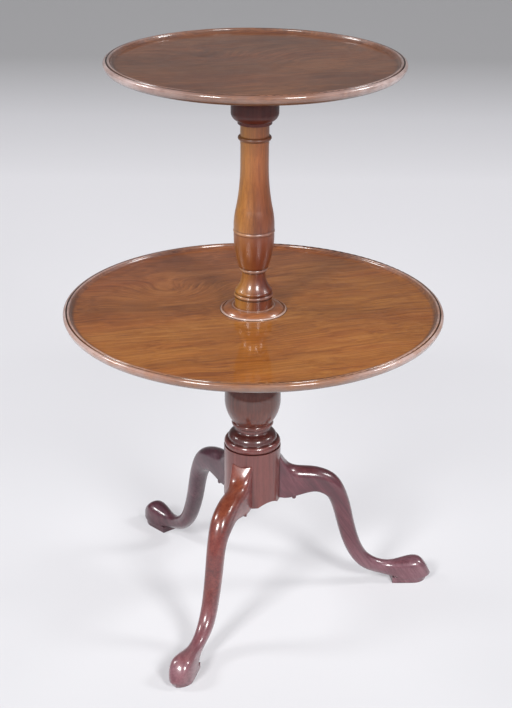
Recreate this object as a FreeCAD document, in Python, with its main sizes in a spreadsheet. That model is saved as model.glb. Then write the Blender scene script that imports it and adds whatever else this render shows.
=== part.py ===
import FreeCAD, Part
import math
import os
from types import SimpleNamespace

import Sketcher

# Two-tier revolving side table in mahogany: two dished round tiers on a turned column, three cabriole legs.
# Millimetres. The origin is on the column's axis at floor level, +Z is up, and the front is towards -Y.

# Driving sizes, one sheet cell each: lengths in millimetres, slopes and azimuths in degrees
DRIVING_SIZES = {
    # tiers and their moulded rims
    "lower_tier_radius": 305.0,
    "top_tier_radius": 229.5,
    "tier_board": 9.5,
    "rim_under_width": 8.0,
    "rim_face_height": 9.2,
    "rim_face_bulge": 1.7,
    "rim_step": 1.0,
    "outer_bead_width": 4.6,
    "outer_bead_height": 5.6,
    "outer_bead_bulge": 1.8,
    "quirk_width": 1.3,
    "quirk_depth": 1.5,
    "inner_bead_width": 4.6,
    "inner_bead_rise": 1.7,
    "inner_bead_bulge": 1.6,
    "rim_cove_width": 5.6,
    "rim_cove_bulge": 1.4,
    # legs
    "leg_azimuth": 8.0,
    "hub_clearance": 186.5,
    "tongue_depth": 15.0,
    "tongue_neck": 15.0,
    "tongue_tail": 21.0,
    "tongue_height": 58.0,
    "joint_clearance": 0.1,
    "root_embed": 8.0,
    "root_flat": 14.0,
    "root_depth": 58.5,
    "root_flare": 29.0,
    "root_flare_reach": 5.0,
    "root_width": 37.0,
    "root_length": 55.0,
    "root_slope": 3.0,
    "bracket_bead_radius": 3.5,
    "bracket_bead_drop": 1.8,
    "bracket_bead_reach": 22.0,
    "knee_radius": 50.0,
    "knee_start_depth": 42.0,
    "knee_depth": 37.5,
    "knee_end_depth": 33.0,
    "knee_width": 34.5,
    "shin_slope": 73.4,
    "shin_depth": 30.0,
    "shin_width": 28.5,
    "ankle_radius": 80.0,
    "ankle_height": 24.5,
    "ankle_depth": 26.5,
    "ankle_width": 25.0,
    "foot_slope": 5.0,
    "foot_start_depth": 29.0,
    "instep_length": 41.0,
    "instep_width": 34.0,
    "instep_height": 41.5,
    "toe_length": 32.0,
    "foot_height": 44.0,
    "toe_lift": 2.5,
    "foot_width": 39.0,
    "sole_height": 11.0,
    "sole_inset": 1.5,
    "sole_toe_inset": 7.0,
    "heel_reach": 3.0,
    "heel_width": 27.0,
    # lower column and hub
    "hub_radius": 47.4,
    "hub_height": 98.5,
    "hub_arch_rise": 7.0,
    "hub_arch_width": 40.0,
    "hub_arch_depth": 13.0,
    "hub_bead_height": 12.0,
    "hub_bead_bulge": 2.6,
    "hub_bead_radius": 44.4,
    "base_torus_radius": 40.6,
    "base_torus_height": 14.0,
    "base_torus_bulge": 3.4,
    "base_torus_top": 31.2,
    "base_cove_height": 6.0,
    "base_cove_bulge": 1.2,
    "base_neck_radius": 27.6,
    "base_neck_height": 5.2,
    "base_ring_radius": 32.8,
    "base_ring_height": 7.8,
    "base_ring_bulge": 2.0,
    "ball_foot_radius": 33.4,
    "ball_rise": 42.0,
    "ball_rise_bulge": 3.9,
    "ball_radius": 46.4,
    "ball_fall": 42.0,
    "ball_fall_bulge": 5.0,
    "ball_top_radius": 28.5,
    "stem_ring_height": 7.0,
    "stem_ring_bulge": 3.0,
    "stem_radius": 27.0,
    "stem_height": 15.0,
    "journal_radius": 16.0,
    "running_clearance": 0.08,
    "tier_float": 0.5,
    "tenon_radius": 12.0,
    "tenon_length": 56.0,
    "socket_end_gap": 1.0,
    # bosses under the tiers
    "lower_boss_foot_radius": 33.0,
    "lower_boss_cup_radius": 45.0,
    "lower_boss_flange_radius": 72.0,
    "lower_boss_flare_height": 38.0,
    "top_boss_foot_radius": 26.8,
    "top_boss_cup_radius": 37.2,
    "top_boss_flange_radius": 60.0,
    "top_boss_flare_height": 40.0,
    "boss_foot_height": 4.5,
    "boss_cup_height": 12.5,
    "boss_cup_bulge": 2.7,
    "boss_band_height": 15.0,
    "boss_flare_bulge": 2.0,
    "boss_ledge_width": 19.0,
    "boss_flange_height": 12.0,
    "boss_screw_inset": 10.0,
    "screw_shank_radius": 2.2,
    "screw_head_radius": 4.6,
    "screw_head_height": 2.6,
    "screw_head_bulge": 0.9,
    "screw_bite": 6.5,
    "screw_clearance": 0.1,
    # upper column
    "drum_radius": 30.0,
    "drum_height": 22.0,
    "drum_groove_depth": 1.3,
    "drum_groove_height": 1.4,
    "drum_bead_radius": 29.2,
    "drum_bead_height": 6.0,
    "drum_bead_bulge": 2.0,
    "bulb_base_radius": 28.8,
    "bulb_height": 6.5,
    "bulb_bulge": 1.4,
    "bulb_top_radius": 28.0,
    "bulb_cove_height": 28.0,
    "bulb_cove_bulge": 2.4,
    "waist_radius": 18.4,
    "waist_height": 3.0,
    "waist_ring_radius": 20.6,
    "waist_ring_height": 6.0,
    "waist_ring_bulge": 1.9,
    "vase_foot_radius": 23.2,
    "vase_rise": 58.4,
    "vase_bulge": 2.6,
    "vase_radius": 32.2,
    "vase_line_height": 4.6,
    "vase_line_bulge": 0.7,
    "shoulder_rise": 36.0,
    "shoulder_bulge": 1.2,
    "shoulder_radius": 28.6,
    "sweep_rise": 66.0,
    "sweep_bulge": 1.5,
    "shaft_radius": 22.1,
    "shaft_height": 36.5,
    "neck_fillet_height": 5.5,
    "neck_ring_height": 7.0,
    "neck_ring_bulge": 3.7,
    "neck_radius": 22.5,
    "neck_height": 19.0,
    "spigot_radius": 14.0,
    "spigot_length": 50.0,
    # foot collar
    "collar_radius": 53.2,
    "collar_bead_width": 3.4,
    "collar_bead_height": 2.4,
    "collar_bead_bulge": 1.2,
    "collar_quirk_width": 0.8,
    "collar_quirk_depth": 1.0,
    "collar_ovolo_rise": 5.4,
    "collar_ovolo_bulge": 2.6,
    "collar_fillet_width": 4.2,
    "collar_fillet_rise": 1.2,
    "collar_relief_gap": 0.8,
    "collar_relief_depth": 0.4,
    # iron brace under the hub
    "brace_thickness": 2.5,
    "brace_lap": 7.0,
    "brace_arm_width": 15.0,
    "brace_centre_radius": 18.0,
    "brace_inner_screw": 22.0,
    "brace_screw_bite": 13.0,
}
LEG_NAMES = ("leg_right", "leg_left", "leg_front")
LEG_COUNT = len(LEG_NAMES)
BOSS_SCREW_COUNT = 4
FULL_TURN = 360.0
SHEET_NAME = "Sizes"

# Share of a quarter round's radius that its middle stands out from its chord
QUARTER_BULGE = 1.0 - math.sqrt(0.5)
# Roundness of a leg section's top and bottom corners, from nought, which is square, to one, which is round
ROOT_ROUNDS = ((0.30, 0.10), (0.60, 0.10), (0.90, 0.10))
KNEE_ROUND = (0.98, 0.45)
SHIN_ROUND = (0.95, 0.85)
ANKLE_ROUND = (1.0, 0.95)
FOOT_ROUND = (1.0, 0.10)
# Shares of a section's smaller half that a wholly round corner takes along its sides and off its corner point
ROUND_ALONG = 0.73
ROUND_OFF = 0.26
# Degree of the sections' splines
SPLINE_DEGREE = 3
# Share of the root's flare that is left at the flare's reach
FLARE_LEFT = 0.36
# Share of the sole's height at which the foot's own form begins, and of its insets that end at the sole's top
SOLE_SHARE = 0.7
# Shares of the toe's length at which it has its sections, and the power by which its top falls along them
TOE_SHARES = (0.3, 0.55, 0.75, 0.9, 0.97)
TOE_POWER = 2.6


class Size:
    """A length or an angle: its value, and the sheet expression that gives it."""

    def __init__(self, value, text):
        self.value = value
        self.text = text

    def __add__(self, other):
        return combine(self, "+", other)

    def __radd__(self, other):
        return combine(other, "+", self)

    def __sub__(self, other):
        return combine(self, "-", other)

    def __rsub__(self, other):
        return combine(other, "-", self)

    def __mul__(self, other):
        return combine(self, "*", other)

    def __rmul__(self, other):
        return combine(other, "*", self)

    def __truediv__(self, other):
        return combine(self, "/", other)

    def __neg__(self):
        return combine(-1.0, "*", self)


def as_size(item):
    return item if isinstance(item, Size) else Size(float(item), repr(float(item)))


def combine(first, sign, second):
    first = as_size(first)
    second = as_size(second)
    rules = {
        "+": lambda a, b: a + b,
        "-": lambda a, b: a - b,
        "*": lambda a, b: a * b,
        "/": lambda a, b: a / b,
    }
    return Size(rules[sign](first.value, second.value), f"({first.text} {sign} {second.text})")


def sine(angle):
    angle = as_size(angle)
    return Size(math.sin(math.radians(angle.value)), f"sin({angle.text})")


def cosine(angle):
    angle = as_size(angle)
    return Size(math.cos(math.radians(angle.value)), f"cos({angle.text})")


def smaller(first, second):
    return Size(min(first.value, second.value), f"min({first.text}; {second.text})")


doc = FreeCAD.newDocument("RevolvingTable")
sheet = doc.addObject("Spreadsheet::Sheet", SHEET_NAME)
for row, (name, number) in enumerate(DRIVING_SIZES.items(), start=1):
    sheet.set(f"A{row}", name)
    sheet.set(f"B{row}", str(number))
    sheet.setAlias(f"B{row}", name)
doc.recompute()
size = SimpleNamespace(**{name: Size(number, f"{SHEET_NAME}.{name}") for name, number in DRIVING_SIZES.items()})

# Heights that several pieces share, from the floor up
hub_top = size.hub_clearance + size.hub_height
lower_column_rise = (size.hub_height + size.hub_bead_height + size.base_torus_height + size.base_cove_height
                     + size.base_neck_height + size.base_ring_height + size.ball_rise + size.ball_fall
                     + size.stem_ring_height + size.stem_height)
lower_boss_bottom = size.hub_clearance + lower_column_rise
boss_lower_part = size.boss_foot_height + size.boss_cup_height + size.boss_band_height
lower_boss_rise = boss_lower_part + size.lower_boss_flare_height + size.boss_flange_height
lower_tier_bottom = lower_boss_bottom + lower_boss_rise
lower_tier_floor = lower_tier_bottom + size.tier_board
upper_column_bottom = lower_tier_floor + size.tier_float
upper_column_rise = (size.drum_height + size.drum_groove_height + size.drum_bead_height + size.bulb_height
                     + size.bulb_cove_height + size.waist_height + size.waist_ring_height + size.vase_rise
                     + size.vase_line_height + size.shoulder_rise + size.sweep_rise + size.shaft_height
                     + size.neck_fillet_height + size.neck_ring_height + size.neck_height)
top_boss_bottom = upper_column_bottom + upper_column_rise
top_boss_rise = boss_lower_part + size.top_boss_flare_height + size.boss_flange_height
top_tier_bottom = top_boss_bottom + top_boss_rise
rim_height = size.rim_face_height + size.outer_bead_height

# The iron brace and its screws, which the hub and the legs make room for
brace_outer_screw = size.hub_radius + size.brace_lap
brace_screw_length = size.brace_thickness + size.brace_screw_bite


# Bodies, sketches and features

def new_body(label):
    body = doc.addObject("PartDesign::Body", label)
    body.Label = label
    body.AllowCompound = True
    return body


def place(body, height, azimuth):
    body.Placement.Rotation = FreeCAD.Rotation(FreeCAD.Vector(0, 0, 1), as_size(azimuth).value)
    body.setExpression("Placement.Base.z", as_size(height).text)
    body.setExpression("Placement.Rotation.Angle", as_size(azimuth).text)


def origin_feature(body, role):
    return next(item for item in body.Origin.OriginFeatures if item.Role == role)


def new_sketch(body, name, plane, across=0.0, along=0.0, lift=0.0, tilt=0.0):
    """A sketch on an origin plane, shifted in it and lifted off it, and tilted about its own first axis."""
    sketch = body.newObject("Sketcher::SketchObject", name)
    sketch.AttachmentSupport = [(origin_feature(body, plane), "")]
    sketch.MapMode = "FlatFace"
    sketch.AttachmentOffset = FreeCAD.Placement(
        FreeCAD.Vector(as_size(across).value, as_size(along).value, as_size(lift).value),
        FreeCAD.Rotation(FreeCAD.Vector(1, 0, 0), as_size(tilt).value),
    )
    for path, target in (("Base.x", across), ("Base.y", along), ("Base.z", lift), ("Rotation.Angle", tilt)):
        if isinstance(target, Size):
            sketch.setExpression(f"AttachmentOffset.{path}", target.text)
    return sketch


def add_rules(sketch, rules):
    """Add constraints, each with the size that drives it or None."""
    indexes = sketch.addConstraint([rule for rule, target in rules])
    for index, (rule, target) in zip(indexes, rules):
        if target is not None:
            sketch.setExpression(f"Constraints[{index}]", target.text)


def distance_rule(kind, first, second, target):
    """A distance from the first point to the second, turned round where it is negative."""
    if target.value < 0:
        return Sketcher.Constraint(kind, *second, *first, -target.value), -target
    return Sketcher.Constraint(kind, *first, *second, target.value), target


def place_rule(kind, axis, point, target):
    """A distance from the sketch's origin, or a place on its axis where the size is nought."""
    if target.value == 0.0:
        return Sketcher.Constraint("PointOnObject", *point, axis), None
    return distance_rule(kind, (-1, 1), point, target)


def arc_between(first, last, bulge):
    """An arc that stands out by the bulge to the right of its chord, or to the left where it is negative."""
    chord = last - first
    right = FreeCAD.Vector(chord.y, -chord.x, 0).normalize()
    radius = chord.Length ** 2 / (8.0 * abs(bulge)) + abs(bulge) / 2.0
    centre = (first + last) / 2.0 + right * (bulge - math.copysign(radius, bulge))
    ends = [first, last] if bulge > 0 else [last, first]
    start, stop = (math.atan2(end.y - centre.y, end.x - centre.x) for end in ends)
    if stop < start:
        stop += 2.0 * math.pi
    return Part.ArcOfCircle(Part.Circle(centre, FreeCAD.Vector(0, 0, 1), radius), start, stop)


def draw_outline(sketch, start, steps):
    """A closed outline. Each step is (across, rise) or (across, rise, bulge); a straight edge closes it."""
    across, along = (as_size(item) for item in start)
    corners = [FreeCAD.Vector(across.value, along.value, 0)]
    starts, ends, rules = [], [], []
    for index, step in enumerate(steps):
        next_across, rise = as_size(step[0]), as_size(step[1])
        corner = FreeCAD.Vector(next_across.value, corners[-1].y + rise.value, 0)
        starts.append((index, 1))
        ends.append((index, 2))
        if len(step) == 3:
            bulge = as_size(step[2])
            sketch.addGeometry(arc_between(corners[-1], corner, bulge.value), False)
            if bulge.value < 0:
                starts[-1], ends[-1] = ends[-1], starts[-1]
            size_of_bulge = bulge if bulge.value > 0 else -bulge
            shift = next_across - across
            radius = (shift * shift + rise * rise) / (8 * size_of_bulge) + size_of_bulge / 2
            rules.append((Sketcher.Constraint("Radius", index, radius.value), radius))
        else:
            sketch.addGeometry(Part.LineSegment(corners[-1], corner), False)
        if rise.value == 0.0:
            rules.append((Sketcher.Constraint("Horizontal", *starts[-1], *ends[-1]), None))
        else:
            rules.append(distance_rule("DistanceY", starts[-1], ends[-1], rise))
        if next_across.text == across.text and len(step) == 2:
            rules.append((Sketcher.Constraint("Vertical", index), None))
        else:
            rules.append(place_rule("DistanceX", -2, ends[-1], next_across))
        corners.append(corner)
        across = next_across
    closing = len(steps)
    sketch.addGeometry(Part.LineSegment(corners[-1], corners[0]), False)
    starts.append((closing, 1))
    ends.append((closing, 2))
    joins = [(Sketcher.Constraint("Coincident", *ends[index - 1], *starts[index]), None)
             for index in range(len(starts))]
    first_across, first_along = (as_size(item) for item in start)
    rules.append(place_rule("DistanceX", -2, starts[0], first_across))
    rules.append(place_rule("DistanceY", -1, starts[0], first_along))
    add_rules(sketch, joins + rules)


def draw_circle(sketch, across, along, radius):
    across, along, radius = as_size(across), as_size(along), as_size(radius)
    centre = FreeCAD.Vector(across.value, along.value, 0)
    circle = sketch.addGeometry(Part.Circle(centre, FreeCAD.Vector(0, 0, 1), radius.value), False)
    add_rules(sketch, [
        place_rule("DistanceX", -2, (circle, 3), across),
        place_rule("DistanceY", -1, (circle, 3), along),
        (Sketcher.Constraint("Radius", circle, radius.value), radius),
    ])


def draw_mirrored_spline(sketch, right_side):
    """A closed spline from the control points of its right side, which the left side mirrors."""
    right = [FreeCAD.Vector(across.value, along.value, 0) for across, along in right_side]
    poles = right + [FreeCAD.Vector(-point.x, point.y, 0) for point in reversed(right)]
    weights = [sketch.addGeometry(Part.Circle(pole, FreeCAD.Vector(0, 0, 1), 1.0), True) for pole in poles]
    curve = sketch.addGeometry(Part.BSplineCurve(poles, None, None, True, SPLINE_DEGREE, None, False), False)
    rules = [(Sketcher.Constraint("Weight", weights[0], 1.0), None)]
    for index, weight in enumerate(weights):
        if index > 0:
            rules.append((Sketcher.Constraint("Equal", weights[0], weight), None))
        pole_rule = "InternalAlignment:Sketcher::BSplineControlPoint"
        rules.append((Sketcher.Constraint(pole_rule, weight, 3, curve, index), None))
    for weight, mirrored, (across, along) in zip(weights, reversed(weights), right_side):
        rules.append(place_rule("DistanceX", -2, (weight, 3), across))
        rules.append(place_rule("DistanceY", -1, (weight, 3), along))
        rules.append((Sketcher.Constraint("Symmetric", mirrored, 3, weight, 3, -2), None))
    add_rules(sketch, rules)


def revolve(body, sketch):
    turned = body.newObject("PartDesign::Revolution", f"{sketch.Name}_turned")
    turned.Profile = sketch
    turned.ReferenceAxis = (sketch, ["V_Axis"])
    turned.Angle = FULL_TURN
    doc.recompute()
    return turned


def pad(body, sketch, length, both_sides=False):
    padded = body.newObject("PartDesign::Pad", f"{sketch.Name}_pad")
    padded.Profile = sketch
    padded.setExpression("Length", length.text)
    if both_sides:
        padded.SideType = "Symmetric"
    doc.recompute()
    return padded


def cut(body, sketch, depth, reverse=False):
    """Cut a sketch into its body, and make sure that it met the solid."""
    before = body.Shape.Volume
    pocket = body.newObject("PartDesign::Pocket", f"{sketch.Name}_cut")
    pocket.Profile = sketch
    pocket.Reversed = reverse
    pocket.setExpression("Length", depth.text)
    doc.recompute()
    if not pocket.Shape.Volume < before:
        raise ValueError(f"{pocket.Name} cuts nothing")
    return pocket


def repeat_round(body, feature, count):
    pattern = body.newObject("PartDesign::PolarPattern", f"{feature.Name}_ring")
    pattern.Originals = [feature]
    pattern.Axis = (origin_feature(body, "Z_Axis"), [""])
    pattern.Angle = FULL_TURN
    pattern.Occurrences = count
    body.Tip = pattern
    doc.recompute()
    return pattern


def loft(body, name, sketches, ruled=False):
    lofted = body.newObject("PartDesign::AdditiveLoft", name)
    lofted.Profile = sketches[0]
    lofted.Sections = sketches[1:]
    lofted.Ruled = ruled
    doc.recompute()
    return lofted


def turned_body(label, start, steps, height, azimuth=0.0):
    body = new_body(label)
    sketch = new_sketch(body, f"{label}_outline", "XZ_Plane")
    draw_outline(sketch, start, steps)
    revolve(body, sketch)
    place(body, height, azimuth)
    return body


# Tiers: a dished board with a moulded rim, pilot holes below for the boss's screws, and a relief under the collar

def tier(label, radius, bore, relief, screw_circle, height):
    bead_top = radius - size.outer_bead_width
    inner_bead_start = bead_top - size.quirk_width
    inner_bead_end = inner_bead_start - size.inner_bead_width
    floor_edge = inner_bead_end - size.rim_cove_width
    cove_drop = size.tier_board - rim_height + size.quirk_depth - size.inner_bead_rise
    start = (bore, 0.0)
    steps = [
        (radius - size.rim_under_width, 0.0),
        (radius - size.rim_step, size.rim_face_height, size.rim_face_bulge),
        (radius - size.rim_step / 2, 0.0),
        (bead_top, size.outer_bead_height, size.outer_bead_bulge),
        (inner_bead_start, -size.quirk_depth),
        (inner_bead_end, size.inner_bead_rise, size.inner_bead_bulge),
        (floor_edge, cove_drop, -size.rim_cove_bulge),
    ]
    if relief is not None:
        steps += [(relief, 0.0), (relief, -size.collar_relief_depth)]
    steps += [(bore, 0.0)]
    body = turned_body(label, start, steps, height)
    hole = new_sketch(body, f"{label}_pilot", "XY_Plane")
    draw_circle(hole, screw_circle, 0.0, size.screw_shank_radius + size.screw_clearance)
    pilot = cut(body, hole, size.screw_bite + size.screw_clearance, reverse=True)
    repeat_round(body, pilot, BOSS_SCREW_COUNT)
    return body


# Bosses: turned cups that carry the tiers and turn on the column's spigots

def boss(label, foot_radius, cup_radius, flange_radius, flare_height, bore, bore_depth, screw_circle, height):
    rise = boss_lower_part + flare_height + size.boss_flange_height
    steps = [
        (foot_radius, 0.0),
        (foot_radius, size.boss_foot_height),
        (cup_radius, size.boss_cup_height, size.boss_cup_bulge),
        (cup_radius, size.boss_band_height),
        (flange_radius - size.boss_ledge_width, flare_height, -size.boss_flare_bulge),
        (flange_radius, 0.0),
        (flange_radius, size.boss_flange_height),
    ]
    if bore_depth is None:
        steps += [(bore, 0.0)]
    else:
        steps += [(0.0, 0.0), (0.0, bore_depth - rise), (bore, 0.0)]
    body = turned_body(label, (bore, 0.0), steps, height)
    hole = new_sketch(body, f"{label}_hole", "XY_Plane", lift=rise)
    draw_circle(hole, screw_circle, 0.0, size.screw_shank_radius + size.screw_clearance)
    drilled = cut(body, hole, size.boss_flange_height)
    repeat_round(body, drilled, BOSS_SCREW_COUNT)
    return body


def screws(label, circles, length, height, count, azimuth=0.0):
    """Round-headed screws on one or more circles, heads down."""
    body = new_body(label)
    steps = [
        (size.screw_head_radius, size.screw_head_height, size.screw_head_bulge),
        (size.screw_shank_radius, 0.0),
        (size.screw_shank_radius, length),
        (0.0, 0.0),
    ]
    for index, circle in enumerate(circles):
        sketch = new_sketch(body, f"{label}_{index}", "XZ_Plane", across=circle)
        draw_outline(sketch, (0.0, -size.screw_head_height), steps)
        repeat_round(body, revolve(body, sketch), count)
    place(body, height, azimuth)
    return body


# Lower column: hub with slots for the legs, torus, ball and the spigot that both tiers' parts stand on

def dovetail_steps(clearance):
    """Half widths of the tongue at its tail and at its neck, which reaches a little into the leg."""
    tail = size.tongue_tail / 2 + clearance
    neck = size.tongue_neck / 2 + clearance
    inner = size.hub_radius - size.tongue_depth - clearance
    outer = size.hub_radius + size.root_flare_reach
    start = (inner, -tail)
    steps = [(outer, tail - neck), (outer, 2 * neck), (inner, tail - neck)]
    return start, steps


def brace_arm_steps(clearance):
    """One arm of the iron brace from the axis to its round end."""
    half = size.brace_arm_width / 2 + clearance
    steps = [
        (brace_outer_screw, 0.0),
        (brace_outer_screw + half, half, QUARTER_BULGE * half),
        (brace_outer_screw, half, QUARTER_BULGE * half),
        (0.0, 0.0),
    ]
    return (0.0, -half), steps


def lower_column():
    journal_rise = lower_boss_rise + size.tier_board + size.tier_float
    steps = [
        (size.hub_radius, 0.0),
        (size.hub_radius, size.hub_height),
        (size.hub_bead_radius, 0.0),
        (size.hub_bead_radius, size.hub_bead_height, size.hub_bead_bulge),
        (size.base_torus_radius, 0.0),
        (size.base_torus_top, size.base_torus_height, size.base_torus_bulge),
        (size.base_neck_radius, size.base_cove_height, -size.base_cove_bulge),
        (size.base_neck_radius, size.base_neck_height),
        (size.base_ring_radius, 0.0),
        (size.base_ring_radius, size.base_ring_height, size.base_ring_bulge),
        (size.ball_foot_radius, 0.0),
        (size.ball_radius, size.ball_rise, size.ball_rise_bulge),
        (size.ball_top_radius, size.ball_fall, size.ball_fall_bulge),
        (size.ball_top_radius, size.stem_ring_height, size.stem_ring_bulge),
        (size.stem_radius, 0.0),
        (size.stem_radius, size.stem_height),
        (size.journal_radius, 0.0),
        (size.journal_radius, journal_rise),
        (size.tenon_radius, 0.0),
        (size.tenon_radius, size.tenon_length),
        (0.0, 0.0),
    ]
    body = turned_body("lower_column", (0.0, 0.0), steps, size.hub_clearance, size.leg_azimuth)
    slot = new_sketch(body, "leg_slot", "XY_Plane")
    draw_outline(slot, *dovetail_steps(size.joint_clearance))
    repeat_round(body, cut(body, slot, size.tongue_height + size.joint_clearance, reverse=True), LEG_COUNT)
    arch = new_sketch(body, "hub_arch", "YZ_Plane", lift=size.hub_arch_depth - size.hub_radius)
    half = size.hub_arch_width / 2
    draw_outline(arch, (half, 0.0), [(-half, 0.0, size.hub_arch_rise)])
    repeat_round(body, cut(body, arch, size.hub_radius), LEG_COUNT)
    disc = new_sketch(body, "brace_recess", "XY_Plane")
    draw_circle(disc, 0.0, 0.0, size.brace_centre_radius + size.joint_clearance)
    cut(body, disc, size.brace_thickness, reverse=True)
    arm = new_sketch(body, "brace_arm_recess", "XY_Plane")
    draw_outline(arm, *brace_arm_steps(size.joint_clearance))
    repeat_round(body, cut(body, arm, size.brace_thickness, reverse=True), LEG_COUNT)
    hole = new_sketch(body, "hub_pilot", "XY_Plane")
    draw_circle(hole, size.brace_inner_screw, 0.0, size.screw_shank_radius + size.screw_clearance)
    repeat_round(body, cut(body, hole, brace_screw_length + size.screw_clearance, reverse=True), LEG_COUNT)
    return body


# Upper column: drum, bulb, vase and neck, with a socket below and a spigot above

def upper_column():
    socket_radius = size.tenon_radius + size.joint_clearance
    socket_depth = size.tenon_length + size.socket_end_gap
    groove_radius = size.drum_radius - size.drum_groove_depth
    steps = [
        (size.drum_radius, 0.0),
        (size.drum_radius, size.drum_height),
        (groove_radius, 0.0),
        (groove_radius, size.drum_groove_height),
        (size.drum_bead_radius, 0.0),
        (size.drum_bead_radius, size.drum_bead_height, size.drum_bead_bulge),
        (size.bulb_base_radius, 0.0),
        (size.bulb_top_radius, size.bulb_height, size.bulb_bulge),
        (size.waist_radius, size.bulb_cove_height, -size.bulb_cove_bulge),
        (size.waist_radius, size.waist_height),
        (size.waist_ring_radius, 0.0),
        (size.waist_ring_radius, size.waist_ring_height, size.waist_ring_bulge),
        (size.vase_foot_radius, 0.0),
        (size.vase_radius, size.vase_rise, size.vase_bulge),
        (size.vase_radius, size.vase_line_height, size.vase_line_bulge),
        (size.shoulder_radius, size.shoulder_rise, size.shoulder_bulge),
        (size.shaft_radius, size.sweep_rise, -size.sweep_bulge),
        (size.shaft_radius, size.shaft_height),
        (size.neck_radius, 0.0),
        (size.neck_radius, size.neck_fillet_height),
        (size.neck_radius, size.neck_ring_height, size.neck_ring_bulge),
        (size.neck_radius, size.neck_height),
        (size.spigot_radius, 0.0),
        (size.spigot_radius, size.spigot_length),
        (0.0, 0.0),
        (0.0, socket_depth - upper_column_rise - size.spigot_length),
        (socket_radius, 0.0),
    ]
    return turned_body("upper_column", (socket_radius, 0.0), steps, upper_column_bottom)


def foot_collar():
    inner = size.drum_radius + size.joint_clearance
    bead = size.collar_radius - size.collar_bead_width
    fillet = inner + size.collar_fillet_width
    steps = [
        (size.collar_radius, 0.0),
        (bead, size.collar_bead_height, size.collar_bead_bulge),
        (bead - size.collar_quirk_width, -size.collar_quirk_depth),
        (fillet, size.collar_ovolo_rise, size.collar_ovolo_bulge),
        (fillet, size.collar_fillet_rise),
        (inner, 0.0),
    ]
    return turned_body("foot_collar", (inner, 0.0), steps, upper_column_bottom)


# Legs: cabriole, with a dovetail tongue at the root, a beaded bracket below it and a pad foot

def leg_section(body, name, reach, height, tilt, width, depth, rounds):
    """A closed spline square to the leg's run and centred on it, drawn in at its corners."""
    sketch = new_sketch(body, name, "YZ_Plane", along=height, lift=reach, tilt=tilt)
    half_width = width / 2
    half_depth = depth / 2
    top_round, bottom_round = (share * smaller(half_width, half_depth) for share in rounds)
    bottom_corner = [
        (half_width - ROUND_ALONG * bottom_round, -half_depth),
        (half_width - ROUND_OFF * bottom_round, ROUND_OFF * bottom_round - half_depth),
        (half_width, ROUND_ALONG * bottom_round - half_depth),
    ]
    top_corner = [
        (half_width, half_depth - ROUND_ALONG * top_round),
        (half_width - ROUND_OFF * top_round, half_depth - ROUND_OFF * top_round),
        (half_width - ROUND_ALONG * top_round, half_depth),
    ]
    draw_mirrored_spline(sketch, bottom_corner + top_corner)
    return sketch


def leg_run():
    """The leg's centre line, as (reach, height, slope): root, knee bend, shin, ankle bend."""
    root_start = size.hub_clearance + size.root_depth / 2
    knee_reach = size.hub_radius + size.root_length
    knee_height = root_start - size.root_length * sine(size.root_slope) / cosine(size.root_slope)

    def knee(slope):
        reach = knee_reach + size.knee_radius * (sine(slope) - sine(size.root_slope))
        height = knee_height - size.knee_radius * (cosine(size.root_slope) - cosine(slope))
        return reach, height, slope

    def ankle(slope):
        reach = shin_end - size.ankle_radius * (sine(slope) - sine(size.shin_slope))
        height = size.ankle_height + size.ankle_radius * (cosine(size.foot_slope) - cosine(slope))
        return reach, height, slope

    shin_reach, shin_height, shin_slope = knee(size.shin_slope)
    shin_end = shin_reach
    shin_drop = shin_height - ankle(size.shin_slope)[1]
    shin_end = shin_reach + shin_drop * cosine(size.shin_slope) / sine(size.shin_slope)
    shin_middle = ((shin_reach + shin_end) / 2, shin_height - shin_drop / 2, size.shin_slope)
    return {
        "knee_start": knee(size.root_slope),
        "knee": knee((size.root_slope + size.shin_slope) / 2),
        "knee_end": knee(size.shin_slope),
        "shin": shin_middle,
        "shin_end": ankle(size.shin_slope),
        "ankle": ankle((size.shin_slope + size.foot_slope) / 2),
        "foot_start": ankle(size.foot_slope),
    }


def leg_sections(body, run):
    root_sections = (
        (-size.root_embed, size.root_depth + size.root_flare),
        (size.root_flare_reach, size.root_depth + FLARE_LEFT * size.root_flare),
        (size.root_flat, size.root_depth),
    )
    sketches = []
    for index, ((reach, depth), rounds) in enumerate(zip(root_sections, ROOT_ROUNDS)):
        sketches.append(leg_section(body, f"root_{index}", size.hub_radius + reach, size.hub_clearance + depth / 2,
                                    0.0, size.root_width, depth, rounds))
    bends = (
        ("knee_start", (size.root_width + size.knee_width) / 2, size.knee_start_depth, KNEE_ROUND),
        ("knee", size.knee_width, size.knee_depth, KNEE_ROUND),
        ("knee_end", (size.knee_width + size.shin_width) / 2, size.knee_end_depth, SHIN_ROUND),
        ("shin", size.shin_width, size.shin_depth, SHIN_ROUND),
        ("shin_end", (size.shin_width + size.ankle_width) / 2, (size.shin_depth + size.ankle_depth) / 2, SHIN_ROUND),
        ("ankle", size.ankle_width, size.ankle_depth, ANKLE_ROUND),
        ("foot_start", size.ankle_width, size.foot_start_depth, ANKLE_ROUND),
    )
    for name, width, depth, rounds in bends:
        sketches.append(leg_section(body, name, *run[name], width, depth, rounds))
    return sketches + foot_sections(body, run["foot_start"][0])


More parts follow.
